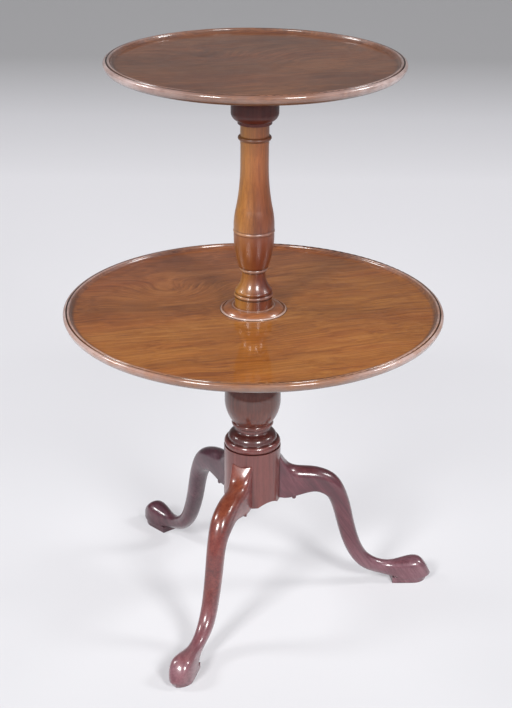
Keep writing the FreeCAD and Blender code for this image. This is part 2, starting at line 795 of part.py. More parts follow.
def foot_sections(body, foot_reach):
    """Upright sections that stand on the sole: instep, widest place, and a toe that falls and narrows to its tip."""
    sole = SOLE_SHARE * size.sole_height
    widest = foot_reach + size.instep_length
    rise = size.foot_height - sole
    places = [
        ("instep", foot_reach + size.instep_length / 2, size.instep_width, sole, size.instep_height - sole),
        ("foot", widest, size.foot_width, sole, rise),
    ]
    for share in TOE_SHARES:
        fall = share ** TOE_POWER
        width = math.sqrt(1.0 - share ** 2) * size.foot_width
        lift = fall * size.toe_lift
        places.append((f"toe_{share * 100:.0f}", widest + share * size.toe_length, width,
                       sole + lift, (1.0 - fall) * rise))
    return [leg_section(body, name, reach, bottom + depth / 2, 0.0, width, depth, FOOT_ROUND)
            for name, reach, width, bottom, depth in places]


def sole_outline(body, name, run, height, share):
    """The sole seen from above, with a share of its insets: a straight heel, sides that spread, a round toe."""
    heel = run["foot_start"][0] + size.heel_reach
    widest = run["foot_start"][0] + size.instep_length
    tip = widest + size.toe_length - share * size.sole_toe_inset
    half_heel = size.heel_width / 2
    half_toe = size.foot_width / 2 - share * size.sole_inset
    side_bulge = QUARTER_BULGE * half_toe
    sketch = new_sketch(body, name, "XY_Plane", lift=height)
    steps = [
        (widest, half_heel - half_toe),
        (tip, half_toe, side_bulge),
        (widest, half_toe, side_bulge),
        (heel, half_heel - half_toe),
    ]
    draw_outline(sketch, (heel, -half_heel), steps)
    return sketch


def leg(label, azimuth):
    body = new_body(label)
    run = leg_run()
    loft(body, f"{label}_run", leg_sections(body, run))
    soles = [sole_outline(body, "sole_floor", run, 0.0, 1.0),
             sole_outline(body, "sole_top", run, size.sole_height, 1.0 - SOLE_SHARE)]
    loft(body, f"{label}_sole", soles, ruled=True)
    bead = new_sketch(body, "bracket_bead", "XZ_Plane")
    draw_circle(bead, size.hub_radius + size.bracket_bead_reach,
                size.hub_clearance + size.bracket_bead_radius - size.bracket_bead_drop, size.bracket_bead_radius)
    pad(body, bead, size.root_width, both_sides=True)
    scribe = new_sketch(body, "hub_scribe", "XY_Plane")
    draw_circle(scribe, 0.0, 0.0, size.hub_radius + size.joint_clearance)
    cut(body, scribe, hub_top + size.root_flare, reverse=True)
    tongue = new_sketch(body, "tongue", "XY_Plane", lift=size.hub_clearance)
    draw_outline(tongue, *dovetail_steps(0.0))
    pad(body, tongue, size.tongue_height)
    recess = new_sketch(body, "brace_recess", "XY_Plane")
    draw_outline(recess, *brace_arm_steps(size.joint_clearance))
    cut(body, recess, size.hub_clearance + size.brace_thickness + size.joint_clearance, reverse=True)
    hole = new_sketch(body, "brace_pilot", "XY_Plane")
    draw_circle(hole, brace_outer_screw, 0.0, size.screw_shank_radius + size.screw_clearance)
    cut(body, hole, size.hub_clearance + brace_screw_length + size.screw_clearance, reverse=True)
    place(body, 0.0, azimuth)
    return body


# Iron brace let in flush across the leg joints

def brace_plate():
    body = new_body("brace_plate")
    disc = new_sketch(body, "brace_centre", "XY_Plane")
    draw_circle(disc, 0.0, 0.0, size.brace_centre_radius)
    pad(body, disc, size.brace_thickness)
    arm = new_sketch(body, "brace_arm", "XY_Plane")
    draw_outline(arm, *brace_arm_steps(0.0))
    repeat_round(body, pad(body, arm, size.brace_thickness), LEG_COUNT)
    for name, reach in (("inner", size.brace_inner_screw), ("outer", brace_outer_screw)):
        hole = new_sketch(body, f"brace_{name}_hole", "XY_Plane")
        draw_circle(hole, reach, 0.0, size.screw_shank_radius + size.screw_clearance)
        repeat_round(body, cut(body, hole, size.brace_thickness, reverse=True), LEG_COUNT)
    place(body, size.hub_clearance, size.leg_azimuth)
    return body


# The assembly

lower_screw_circle = size.lower_boss_flange_radius - size.boss_screw_inset
top_screw_circle = size.top_boss_flange_radius - size.boss_screw_inset
lower_bore = size.journal_radius + size.running_clearance
top_bore = size.spigot_radius + size.running_clearance
boss_screw_length = size.boss_flange_height + size.screw_bite
collar_relief = size.collar_radius + size.collar_relief_gap

pieces = [
    lower_column(),
    upper_column(),
    foot_collar(),
    tier("lower_tier", size.lower_tier_radius, lower_bore, collar_relief, lower_screw_circle, lower_tier_bottom),
    tier("top_tier", size.top_tier_radius, as_size(0.0), None, top_screw_circle, top_tier_bottom),
    boss("lower_boss", size.lower_boss_foot_radius, size.lower_boss_cup_radius, size.lower_boss_flange_radius,
         size.lower_boss_flare_height, lower_bore, None, lower_screw_circle, lower_boss_bottom),
    boss("top_boss", size.top_boss_foot_radius, size.top_boss_cup_radius, size.top_boss_flange_radius,
         size.top_boss_flare_height, top_bore, size.spigot_length + size.socket_end_gap, top_screw_circle,
         top_boss_bottom),
    brace_plate(),
]
for index, leg_name in enumerate(LEG_NAMES):
    pieces.append(leg(leg_name, size.leg_azimuth + index * FULL_TURN / LEG_COUNT))
pieces.append(screws("lower_boss_screws", [lower_screw_circle], boss_screw_length,
                     lower_tier_bottom - size.boss_flange_height, BOSS_SCREW_COUNT))
pieces.append(screws("top_boss_screws", [top_screw_circle], boss_screw_length,
                     top_tier_bottom - size.boss_flange_height, BOSS_SCREW_COUNT))
pieces.append(screws("brace_screws", [size.brace_inner_screw, brace_outer_screw], brace_screw_length,
                     size.hub_clearance, LEG_COUNT, size.leg_azimuth))

doc.recompute()
for item in doc.Objects:
    if "Invalid" in item.State or "Error" in item.State:
        raise ValueError(f"{item.Name} failed")
for piece in pieces:
    if piece.Shape.isNull() or not piece.Shape.isValid():
        raise ValueError(f"{piece.Label} has no valid shape")

os.makedirs("parts", exist_ok=True)
for piece in pieces:
    piece.Shape.exportStep(f"parts/{piece.Label}.step")
    print(piece.Label, len(piece.Shape.Solids), round(piece.Shape.Volume))
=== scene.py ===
import math
from types import SimpleNamespace

import bmesh
import bpy
from mathutils import Matrix, Vector


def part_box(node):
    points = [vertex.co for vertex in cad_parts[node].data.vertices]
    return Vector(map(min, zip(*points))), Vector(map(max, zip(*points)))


# Two-tier revolving side table in polished mahogany, in a plain studio.
# Metres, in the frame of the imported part: origin on the column's axis at floor level, front towards -Y.

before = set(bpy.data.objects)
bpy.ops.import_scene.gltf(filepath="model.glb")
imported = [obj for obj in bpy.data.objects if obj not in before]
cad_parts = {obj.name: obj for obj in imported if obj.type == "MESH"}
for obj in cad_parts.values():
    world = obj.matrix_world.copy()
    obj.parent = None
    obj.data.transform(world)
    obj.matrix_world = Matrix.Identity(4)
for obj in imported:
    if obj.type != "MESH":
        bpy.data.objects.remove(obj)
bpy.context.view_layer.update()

UP = (0.0, 0.0, 1.0)
DOWN = (0.0, 0.0, -1.0)
LEFT = (-1.0, 0.0, 0.0)
RIGHT = (1.0, 0.0, 0.0)
# Factors that leave out the height of a place
LEVEL = (1.0, 1.0, 0.0)

# Camera of the photograph
CAMERA_EYE = (0.0, -2.277, 1.451)
CAMERA_PITCH_DEG = 23.77
CAMERA_YAW_DEG = 0.12
CAMERA_ROLL_DEG = 0.5
CAMERA_LENS_MM = 77.6
SENSOR_MM = 36.0

# Studio: a sweep of floor and wall
SWEEP_HALF_WIDTH = 12.0
SWEEP_FRONT = -12.0
SWEEP_BEND_START = 2.4
SWEEP_BEND_RADIUS = 1.6
SWEEP_TOP = 5.0
SWEEP_BEND_STEPS = 24
# Its paper, by how far back and up each tone begins: colour, and the glow that the camera alone sees
PALE_PAPER = (0.70, 0.70, 0.72)
SWEEP_TONES = (
    (-0.5, PALE_PAPER, 0.14),
    (-0.15, PALE_PAPER, 0.27),
    (0.1, PALE_PAPER, 0.31),
    (0.7, PALE_PAPER, 0.40),
    (1.9, PALE_PAPER, 0.455),
    (2.4, PALE_PAPER, 0.475),
    (2.95, (0.60, 0.60, 0.62), 0.34),
    (3.40, (0.42, 0.42, 0.42), 0.17),
    (3.80, (0.36, 0.36, 0.36), 0.18),
    (6.0, (0.22, 0.22, 0.22), 0.08),
)
SWEEP_GLOW_TINT = (0.99, 0.975, 1.02)
# Share of the paper's own colour that the camera sees below the glow
SWEEP_SEEN = 0.62

# Softboxes: azimuth from the front towards the right, elevation, distance, width, height, power in watts
SOFTBOX_AIM = (0.0, 0.0, 0.45)
SOFTBOXES = {
    "front_left": (-33.0, 31.0, 3.2, 0.7, 0.8, 80.0),
    "front_right": (30.0, 31.0, 3.2, 0.7, 0.8, 80.0),
    "side_left": (-96.0, 37.0, 3.4, 0.7, 0.8, 44.0),
    "side_right": (92.0, 37.0, 3.4, 0.7, 0.8, 44.0),
}
# Air around the sweep: its colour, its light on the scene, and its brightness where it is seen or mirrored
WORLD_TONE = (0.88, 0.89, 1.0)
WORLD_LIGHT = 0.18
WORLD_SEEN = 0.50

# Figure of the wood: stretch along and across the grain, and detail, of each kind of streak
BROAD_STREAKS = (3.0, 36.0, 4.0)
FINE_STREAKS = (4.0, 150.0, 4.0)
THIN_LINES = (6.0, 330.0, 3.0)
PORES = (130.0, 1500.0, 2.0)
PATCHES = (3.0, 14.0, 3.0)
STREAK_ROUGHNESS = 0.62
# Soft noises: roughness and middle of them all, then scale and detail of each
NOISE_ROUGHNESS = 0.55
NOISE_MIDDLE = 0.5
WAVES = (5.0, 2.0)
CLOUDS = (6.0, 3.0)
SMUDGES = (22.0, 4.0)
WEAR = (60.0, 4.0)
BLOTCHES = (35.0, 4.0)
# The stretch of each noise that counts, and the strength it has there
CLOUD_SPAN = (0.3, 0.7)
CLOUD_SHARE = 0.10
LINE_SPAN = (0.25, 0.75)
LINE_SHARE = 0.22
PORE_SPAN = (0.57, 0.67)
PORE_SHARE = 0.45
PATCH_SPAN = (0.45, 0.70)
WEAR_SPAN = (0.42, 0.62)
WEAR_SHARE = 0.35
BLOTCH_SPAN = (0.35, 0.65)
BLOTCH_SHARES = (0.5, 1.0)
SMUDGE_SPAN = (0.3, 0.75)
# Where the dark, middle and light tones lie in the figure
TONE_PLACES = (0.28, 0.50, 0.72)

# Polish: gloss of the bare wood, coat over it, and relief of the pores and fine streaks
WOOD_ROUGHNESS = (0.30, 0.45)
WOOD_SPECULAR = 0.35
COAT_IOR = 1.5
PORE_RELIEF = -0.6
STREAK_RELIEF = 0.2
RELIEF_STRENGTH = 0.03
RELIEF_DEPTH = 0.0004

# Edges: reach of their softening, and how well the softened normal agrees with the true one off and on them
EDGE_RADIUS = 0.0012
EDGE_SAMPLES = 6
EDGE_SPAN = (0.99, 0.80)
# Grime and painted shade in the quirks, by how closed in a place is: reach, how open a clean and a dirty
# place are, strength, and share left of the dark tone
GRIME_AND_SHADE_REACH = 0.004
GRIME_AND_SHADE_SAMPLES = 6
GRIME_AND_SHADE_SPAN = (0.62, 0.25)
GRIME_AND_SHADE_SHARE = 0.9
GRIME_AND_SHADE_DARKNESS = 0.12
# Painted light on the upper side, from the sides of a piece to its upper side, by the rise of the normal
UPPER_SIDE_SPAN = (0.1, 0.8)

# Old iron and steel: mottling, tones, brighter edges and pits
MOTTLE = (140.0, 5.0)
MOTTLE_PLACES = (0.35, 0.55, 0.75)
MOTTLE_SPAN = (0.3, 0.7)
IRON_TONE = (0.055, 0.05, 0.048)
IRON_ROUGHNESS = 0.5
STEEL_TONE = (0.10, 0.095, 0.09)
STEEL_ROUGHNESS = 0.4
ROUGHNESS_SPREAD = 0.2
RUST = (0.16, 0.09, 0.06)
IRON_SHADOW = 0.5
IRON_EDGE = 2.5
IRON_EDGE_SHARE = 0.5
IRON_METALLIC = 0.85
PIT_STRENGTH = 0.2
PIT_DEPTH = 0.0004

# The tiers' moulded rims, by the distance in from the edge: shade of the wood, and share of patina with
# painted sheen
RIM_REACH = 0.020
# The dark quirk is grime and painted shade, the darker cove painted shade.
RIM_SHADE_AND_SHEEN = (
    (0.0000, 0.85, 0.75),
    (0.0038, 0.95, 0.75),
    (0.0044, 0.36, 0.05),
    (0.0063, 0.36, 0.05),
    (0.0071, 0.95, 0.55),
    (0.0098, 0.85, 0.45),
    (0.0108, 0.68, 0.14),
    (0.0150, 0.80, 0.06),
    (0.0180, 1.00, 0.00),
)
# The patina turns paler towards both sides as a painted reflection of the pale surroundings, from one share
# of the rim's radius to the other
RIM_PALE_SPAN = (0.35, 0.9)
# Height of the rim's face, and how dark it is at its foot, as painted shade where the face turns under
RIM_FACE = 0.0092
RIM_FACE_DARKEST = 0.45
# The rim's two rounded beads: distance of the centre in from the edge, its height above the tier's underside,
# radius, and the height at which the bead starts
RIM_BEADS = ((0.00428, 0.01053, 0.00431, 0.0092), (0.00832, 0.01311, 0.00271, 0.0133))
# Distance outside a bead's radius at which its rounding has ended
BEAD_SLACK = 0.0009
# Grime and painted shade by closeness start again this far inside the edge, in reaches of the rim
RIM_GRIME_AND_SHADE_SPAN = (1.0, 1.1)

# Tones of the wood, dark to light
GOLDEN = ((0.145, 0.038, 0.005), (0.265, 0.087, 0.011), (0.370, 0.148, 0.028))
RED_GOLD = ((0.085, 0.020, 0.006), (0.190, 0.053, 0.014), (0.300, 0.100, 0.030))
GREY_BROWN = ((0.070, 0.021, 0.007), (0.145, 0.049, 0.016), (0.250, 0.092, 0.032))
RED_BROWN = ((0.098, 0.025, 0.006), (0.207, 0.062, 0.014), (0.320, 0.115, 0.028))
# The tawny tones paint light on the column's left side.
TAWNY_LIT_SIDE = ((0.176, 0.066, 0.009), (0.332, 0.146, 0.023), (0.452, 0.225, 0.050))
DARK_RED = ((0.040, 0.007, 0.003), (0.095, 0.020, 0.008), (0.170, 0.045, 0.018))
FRONT_RED = ((0.048, 0.006, 0.006), (0.110, 0.014, 0.013), (0.180, 0.036, 0.030))
# Purple in the legs' tones is a painted reflection of the bluish surroundings.
RIGHT_PURPLE = ((0.035, 0.006, 0.011), (0.081, 0.016, 0.025), (0.143, 0.038, 0.050))
# The left leg's deeper tones are painted shade.
SHADED_DEEP_PURPLE = ((0.028, 0.008, 0.013), (0.062, 0.019, 0.030), (0.110, 0.039, 0.052))
# The tones of the legs' upper sides are painted light from above.
WARM_LIT_TOP = ((0.060, 0.010, 0.004), (0.140, 0.031, 0.016), (0.220, 0.062, 0.030))
PURPLE_LIT_TOP = ((0.036, 0.008, 0.011), (0.078, 0.020, 0.026), (0.145, 0.047, 0.054))
# The left foot's darker tones are painted shade; the paler bluish foot tones are a painted reflection of the
# floor.
SHADED_LEFT_FOOT = ((0.028, 0.006, 0.011), (0.064, 0.014, 0.024), (0.115, 0.034, 0.048))
FOOT_FLOOR_REFLECTION = ((0.074, 0.026, 0.035), (0.158, 0.064, 0.081), (0.238, 0.114, 0.133))
HUB_BROWN = ((0.054, 0.011, 0.010), (0.120, 0.027, 0.022), (0.188, 0.050, 0.042))
BALL_BROWN = ((0.044, 0.007, 0.003), (0.100, 0.017, 0.006), (0.168, 0.040, 0.018))
# The bosses' darker tones are painted shade under the tiers.
SHADED_BOSS_BROWN = ((0.042, 0.006, 0.004), (0.078, 0.013, 0.009), (0.120, 0.025, 0.017))
# Patina with painted sheen and reflection, painted highlights and shade, other tones and stains
RIM_PATINA_AND_SHEEN = (0.205, 0.114, 0.085)
# Paler patina on the rims' sides is a painted reflection.
RIM_PAINTED_SIDE_REFLECTION = (0.660, 0.530, 0.510)
# Painted highlights on the rings, and painted shade in their quirks
PAINTED_RING_HIGHLIGHT = (0.420, 0.310, 0.270)
PAINTED_RING_SHADE = (0.060, 0.018, 0.012)
TORUS_DARK = (0.030, 0.007, 0.006)
VASE_RED = (0.140, 0.027, 0.007)
# A pink painted sheen on the collar
COLLAR_PINK_SHEEN = (0.330, 0.165, 0.110)
BLUSH = (1.0, 0.80, 0.72)

# Where one tone of a piece turns to another: the other tones, the direction, and where it starts and ends
TIER_FADE = (RED_GOLD, (-0.55, 0.83, 0.0), (-0.02, 0.26))
BALL_FADE = (BALL_BROWN, UP, (0.318, 0.334))
# The column's tawny left side is painted light.
COLUMN_FADES = ((DARK_RED, DOWN, (-0.78, -0.62)), (TAWNY_LIT_SIDE, LEFT, (-0.006, 0.030)))
# Where a leg's tones turn to those of its foot, downwards
LEG_FOOT_SPAN = (-0.10, -0.03)

# Half the width of a band's soft edge
BAND_EDGE = 0.0006
# Bands on the turnings: by height or radius, from, to, tone and share.
# The upper column's are the red of its vase, painted highlights on its rings between lines of painted shade,
# and a top ring darkened as painted shade.
COLUMN_BANDS = (
    ("height", 0.6000, 0.6605, VASE_RED, 0.50),
    ("height", 0.5500, 0.5522, PAINTED_RING_SHADE, 0.50),
    ("height", 0.5530, 0.5560, PAINTED_RING_HIGHLIGHT, 0.20),
    ("height", 0.5568, 0.5588, PAINTED_RING_SHADE, 0.50),
    ("height", 0.5925, 0.5950, PAINTED_RING_SHADE, 0.55),
    ("height", 0.5960, 0.6000, PAINTED_RING_HIGHLIGHT, 0.25),
    ("height", 0.6005, 0.6030, PAINTED_RING_SHADE, 0.55),
    ("height", 0.6582, 0.6597, PAINTED_RING_SHADE, 0.45),
    ("height", 0.6605, 0.6635, PAINTED_RING_HIGHLIGHT, 0.22),
    ("height", 0.6643, 0.6660, PAINTED_RING_SHADE, 0.50),
    ("height", 0.8080, 0.8150, PAINTED_RING_SHADE, 0.65),
)
# The collar's are painted highlights on its inner fillet and outer bead, with a pink painted sheen between
# them.
COLLAR_BANDS = (
    ("radius", 0.0330, 0.0345, PAINTED_RING_HIGHLIGHT, 0.60),
    ("radius", 0.0345, 0.0515, COLLAR_PINK_SHEEN, 0.12),
    ("radius", 0.0515, 0.0540, PAINTED_RING_HIGHLIGHT, 0.75),
)
TORUS_BAND = ("height", 0.2970, 0.3150, TORUS_DARK, 0.65)

# Looks of a piece of mahogany. Each piece has its tones, a turn that brings its grain along X, a shift that
# picks its stretch of the figure, and a contrast. The rest is as here, where the piece says nothing else.
PLAIN_LOOK = {
    # share of the broad streaks, waviness, and strength of the thin lines and of the red patches
    "figure": 0.5,
    "wave": 0.02,
    "threads": 0.5,
    "blush": 0.4,
    # an oval figure that leads the grain round itself
    "oval": None,
    # other tones on the upper side, painted light from above, and along directions of the piece
    "top_tones": None,
    "fades": (),
    # bands round a turning, and the radius and underside of a moulded rim
    "bands": (),
    "rim": None,
    # edges worn soft, on a piece that is carved and not turned
    "soft_edges": False,
    # the polish, its roughness, and the heights between which it turns dull, with its roughness above them
    "coat": 1.0,
    "coat_roughness": 0.10,
    "dull": None,
}
# Turns for grain that runs up a turning, and for grain that slants across a tier
UPRIGHT_GRAIN = (0.0, math.radians(90.0), 0.0)
TIER_GRAIN = (0.0, 0.0, math.radians(-16.0))

# Tiers: what both have, then what each has of its own.
# An oval figure has a centre along and across the grain, a reach both ways, and a lift of the grain.
TIER_LOOK = {
    "turn": TIER_GRAIN,
    "figure": 0.45,
    "wave": 0.05,
    "contrast": 0.8,
    "threads": 1.0,
    "blush": 0.7,
    "coat_roughness": 0.07,
}
TIERS = {
    "lower_tier": {
        "tones": GOLDEN,
        "shift": (0.0, 0.0, 0.0),
        "oval": ((-0.119, 0.094), (0.08, 0.06), 0.075),
        "fades": (TIER_FADE,),
    },
    "top_tier": {
        "tones": GREY_BROWN,
        "shift": (2.0, 1.0, 0.0),
        "oval": ((1.94, 1.02), (0.10, 0.07), 0.08),
    },
}

# Turnings: the column's lengths, its collar and the two bosses
BOSS_LOOK = {
    "tones": SHADED_BOSS_BROWN,
    "turn": UPRIGHT_GRAIN,
    "figure": 0.3,
    "contrast": 0.6,
    "coat": 0.15,
}
TURNINGS = {
    "upper_column": {
        "tones": RED_BROWN,
        "turn": UPRIGHT_GRAIN,
        "shift": (0.4, 0.0, 0.0),
        "contrast": 0.7,
        "fades": COLUMN_FADES,
        "bands": COLUMN_BANDS,
        "coat": 0.65,
        "coat_roughness": 0.15,
        "dull": ((0.598, 0.606), 0.30),
    },
    "foot_collar": {
        "tones": RED_BROWN,
        "turn": TIER_GRAIN,
        "shift": (5.0, 0.0, 0.0),
        "contrast": 0.7,
        "bands": COLLAR_BANDS,
        "coat_roughness": 0.15,
    },
    "lower_column": {
        "tones": HUB_BROWN,
        "turn": UPRIGHT_GRAIN,
        "shift": (1.3, 0.0, 0.0),
        "figure": 0.3,
        "contrast": 0.5,
        "fades": (BALL_FADE,),
        "bands": (TORUS_BAND,),
    },
    "top_boss": {"shift": (2.7, 0.0, 0.0), **BOSS_LOOK},
    "lower_boss": {"shift": (3.9, 0.0, 0.0), **BOSS_LOOK},
}

# Legs: the direction in which each stands in degrees, and the tones of its sides, its upper side and its
# foot.
# Their upper sides carry painted light, the right and front feet a painted reflection of the floor, and the
# left leg's darker tones painted shade.
LEGS = {
    "leg_right": (8.0, RIGHT_PURPLE, PURPLE_LIT_TOP, FOOT_FLOOR_REFLECTION),
    "leg_left": (128.0, SHADED_DEEP_PURPLE, SHADED_DEEP_PURPLE, SHADED_LEFT_FOOT),
    "leg_front": (248.0, FRONT_RED, WARM_LIT_TOP, FOOT_FLOOR_REFLECTION),
}
# Slope of their straight-sawn grain below the level, the first leg's shift, and what all three have
LEG_GRAIN_SLOPE_DEG = 58.0
FIRST_LEG_SHIFT = 6.0
LEG_LOOK = {"contrast": 0.8, "coat_roughness": 0.15, "soft_edges": True}


class Shader:
    """A material's node tree, with short calls that add a node and join its inputs."""

    def __init__(self, name):
        self.material = bpy.data.materials.new(name)
        self.material.use_nodes = True
        self.tree = self.material.node_tree
        self.tree.nodes.clear()

    def add(self, kind, inputs=None, **settings):
        node = self.tree.nodes.new(kind)
        for name, setting in settings.items():
            setattr(node, name, setting)
        for name, source in (inputs or {}).items():
            if isinstance(source, bpy.types.NodeSocket):
                self.tree.links.new(source, node.inputs[name])
            else:
                node.inputs[name].default_value = source
        return node

    def place(self):
        """Coordinates that stay with the piece."""
        return self.add("ShaderNodeTexCoord").outputs["Object"]

    def math(self, operation, first, second=0.0):
        return self.add("ShaderNodeMath", {0: first, 1: second}, operation=operation).outputs[0]

    def vector_math(self, operation, first, second):
        return self.add("ShaderNodeVectorMath", {0: first, 1: second}, operation=operation).outputs["Vector"]

    def scaled(self, source, factor):
        node = self.add("ShaderNodeVectorMath", {0: source, "Scale": factor}, operation="SCALE")
        return node.outputs["Vector"]

    def normalized(self, source):
        return self.add("ShaderNodeVectorMath", {0: source}, operation="NORMALIZE").outputs["Vector"]

    def length(self, source):
        return self.add("ShaderNodeVectorMath", {0: source}, operation="LENGTH").outputs["Value"]

    def dot(self, first, second):
        node = self.add("ShaderNodeVectorMath", {0: first, 1: second}, operation="DOT_PRODUCT")
        return node.outputs["Value"]

    def noise(self, space, scale, detail, roughness=NOISE_ROUGHNESS, output="Fac"):
        inputs = {"Vector": space, "Scale": scale, "Detail": detail, "Roughness": roughness}
        return self.add("ShaderNodeTexNoise", inputs).outputs[output]

    def ramp(self, source, stops):
        node = self.add("ShaderNodeValToRGB", {"Fac": source})
        elements = node.color_ramp.elements
        while len(elements) < len(stops):
            elements.new(0.5)
        for element, (position, color) in zip(elements, stops):
            element.position = position
            element.color = (*color, 1.0)
        return node.outputs["Color"]

    def fit(self, source, span, new_span=(0.0, 1.0)):
        ends = {"From Min": span[0], "From Max": span[1], "To Min": new_span[0], "To Max": new_span[1]}
        return self.add("ShaderNodeMapRange", {"Value": source, **ends}).outputs["Result"]

    def mix(self, share, first, second, blend="MIX"):
        node = self.add("ShaderNodeMix", data_type="RGBA", blend_type=blend)
        for socket, source in (("Factor_Float", share), ("A_Color", first), ("B_Color", second)):
            target = next(item for item in node.inputs if item.identifier == socket)
            if isinstance(source, bpy.types.NodeSocket):
                self.tree.links.new(source, target)
            else:
                target.default_value = source if isinstance(source, float) else (*source, 1.0)
        return next(item for item in node.outputs if item.identifier == "Result_Color")

    def finish(self, surface):
        self.add("ShaderNodeOutputMaterial", {"Surface": surface})
        return self.material


def grey(level):
    return (level, level, level)


def dimmed(color, share):
    return tuple(share * part for part in color)


# Places and normals on a piece

def from_axis(shader):
    """Distance from the upright axis."""
    return shader.length(shader.vector_math("MULTIPLY", shader.place(), LEVEL))


def above_floor(shader):
    """Height above the floor."""
    return shader.dot(shader.place(), UP)


def upper_side(shader):
    """Nought to one from the sides of a piece to its upper side, the share of painted light on top."""
    normal = shader.add("ShaderNodeTexCoord").outputs["Normal"]
    return shader.fit(shader.dot(normal, UP), UPPER_SIDE_SPAN)


def soft_normal(shader):
    """The normal softened at the edges."""
    return shader.add("ShaderNodeBevel", {"Radius": EDGE_RADIUS}, samples=EDGE_SAMPLES).outputs["Normal"]


def edge_share(shader, softened):
    """How far a place is an edge, by the way its normal was softened."""
    normal = shader.add("ShaderNodeNewGeometry").outputs["Normal"]
    return shader.fit(shader.dot(softened, normal), EDGE_SPAN)


def grime_and_shade_share(shader):
    """How far a place is closed in, for grime and painted shade in the quirks."""
    node = shader.add("ShaderNodeAmbientOcclusion", {"Distance": GRIME_AND_SHADE_REACH}, samples=GRIME_AND_SHADE_SAMPLES)
    return shader.fit(node.outputs["AO"], GRIME_AND_SHADE_SPAN)


def turned_normal(shader):
    """The normal of a piece turned about the upright axis, freed of its facets' sideways slant."""
    geometry = shader.add("ShaderNodeNewGeometry").outputs
    level = shader.vector_math("MULTIPLY", geometry["Position"], LEVEL)
    sideways = shader.normalized(shader.vector_math("CROSS_PRODUCT", level, UP))
    slant = shader.scaled(sideways, shader.dot(geometry["Normal"], sideways))
    return shader.normalized(shader.vector_math("SUBTRACT", geometry["Normal"], slant))


def bead_normal(shader, normal, edge_radius, bottom):
    """The normal with the rim's beads rounded about their own centres, so that light runs along them."""
    place = shader.add("ShaderNodeNewGeometry").outputs["Position"]
    outward = shader.normalized(shader.vector_math("MULTIPLY", place, LEVEL))
    height = shader.dot(place, UP)
    for inset, rise, size, start in RIM_BEADS:
        ring = shader.scaled(outward, edge_radius - inset)
        centre = shader.vector_math("ADD", ring, (0.0, 0.0, bottom + rise))
        spoke = shader.vector_math("SUBTRACT", place, centre)
        near = shader.fit(shader.length(spoke), (size + BEAD_SLACK, size + BEAD_SLACK / 2.0))
        on_bead = shader.math("MULTIPLY", near, shader.math("GREATER_THAN", height, bottom + start))
        normal = shader.mix(on_bead, normal, shader.normalized(spoke))
    return normal


def wood_normal(shader, look):
    """The normal that light meets on a piece: soft at carved edges, smooth round a turning."""
    if look.soft_edges:
        return soft_normal(shader)
    normal = turned_normal(shader)
    return bead_normal(shader, normal, *look.rim) if look.rim else normal


# Wood: figure, colour and polish

def grain_space(shader, turn, shift):
    """Coordinates that stay with the piece, turned so that their X runs along the grain."""
    inputs = {"Vector": shader.place(), "Rotation": turn}
    turned = shader.add("ShaderNodeVectorRotate", inputs, rotation_type="EULER_XYZ").outputs["Vector"]
    return shader.vector_math("ADD", turned, shift)


def wander(shader, space, amount):
    """The same coordinates with a soft waviness."""
    drift = shader.noise(space, *WAVES, output="Color")
    centred = shader.vector_math("SUBTRACT", drift, grey(NOISE_MIDDLE))
    return shader.vector_math("ADD", space, shader.scaled(centred, amount))


def swirl(shader, space, centre, reach, lift):
    """The same coordinates with the grain led round an oval figure."""
    offset = shader.vector_math("SUBTRACT", space, (*centre, 0.0))
    share = shader.vector_math("MULTIPLY", offset, (1.0 / reach[0], 1.0 / reach[1], 0.0))
    swell = shader.math("EXPONENT", shader.math("MULTIPLY", shader.dot(share, share), -1.0))
    rise = shader.add("ShaderNodeCombineXYZ", {"Y": shader.math("MULTIPLY", swell, lift)}).outputs["Vector"]
    return shader.vector_math("ADD", space, rise)


def streaks(shader, space, lengthwise, across, detail):
    """Noise drawn out along the grain."""
    stretched = shader.vector_math("MULTIPLY", space, (lengthwise, across, across))
    return shader.noise(stretched, 1.0, detail, STREAK_ROUGHNESS)


def wood_figure(shader, look, space):
    """Lightness of the figure from its streaks, clouds and thin lines, and the fine streaks by themselves."""
    waved = wander(shader, space, look.wave)
    broad = streaks(shader, waved, *BROAD_STREAKS)
    if look.oval:
        waved = swirl(shader, waved, *look.oval)
    fine = streaks(shader, waved, *FINE_STREAKS)
    lines = streaks(shader, waved, *THIN_LINES)
    clouds = shader.fit(shader.noise(space, *CLOUDS), CLOUD_SPAN, (-CLOUD_SHARE, CLOUD_SHARE))
    broad_part = shader.math("MULTIPLY", broad, look.figure)
    fine_part = shader.math("MULTIPLY", fine, 1.0 - look.figure)
    tone = shader.math("ADD", shader.math("ADD", broad_part, fine_part), clouds)
    swing = look.contrast / 2.0
    tone = shader.fit(tone, (0.0, 1.0), (NOISE_MIDDLE - swing, NOISE_MIDDLE + swing))
    depth = LINE_SHARE * look.threads
    return shader.math("ADD", tone, shader.fit(lines, LINE_SPAN, (-depth, depth))), fine


def toned(shader, tone, tones):
    """The figure's colour between its dark, middle and light tones."""
    return shader.ramp(tone, list(zip(TONE_PLACES, tones)))


def wood_color(shader, look, tone, tones):
    """The figure's colour, with painted light in other tones on the upper side, and other tones along
    directions of the piece, among them painted light on a side and painted reflection and shade on the feet.
    """
    color = toned(shader, tone, tones)
    if look.top_tones:
        color = shader.mix(upper_side(shader), color, toned(shader, tone, look.top_tones))
    for other_tones, direction, span in look.fades:
        share = shader.fit(shader.dot(shader.place(), direction), span)
        color = shader.mix(share, color, toned(shader, tone, other_tones))
    return color


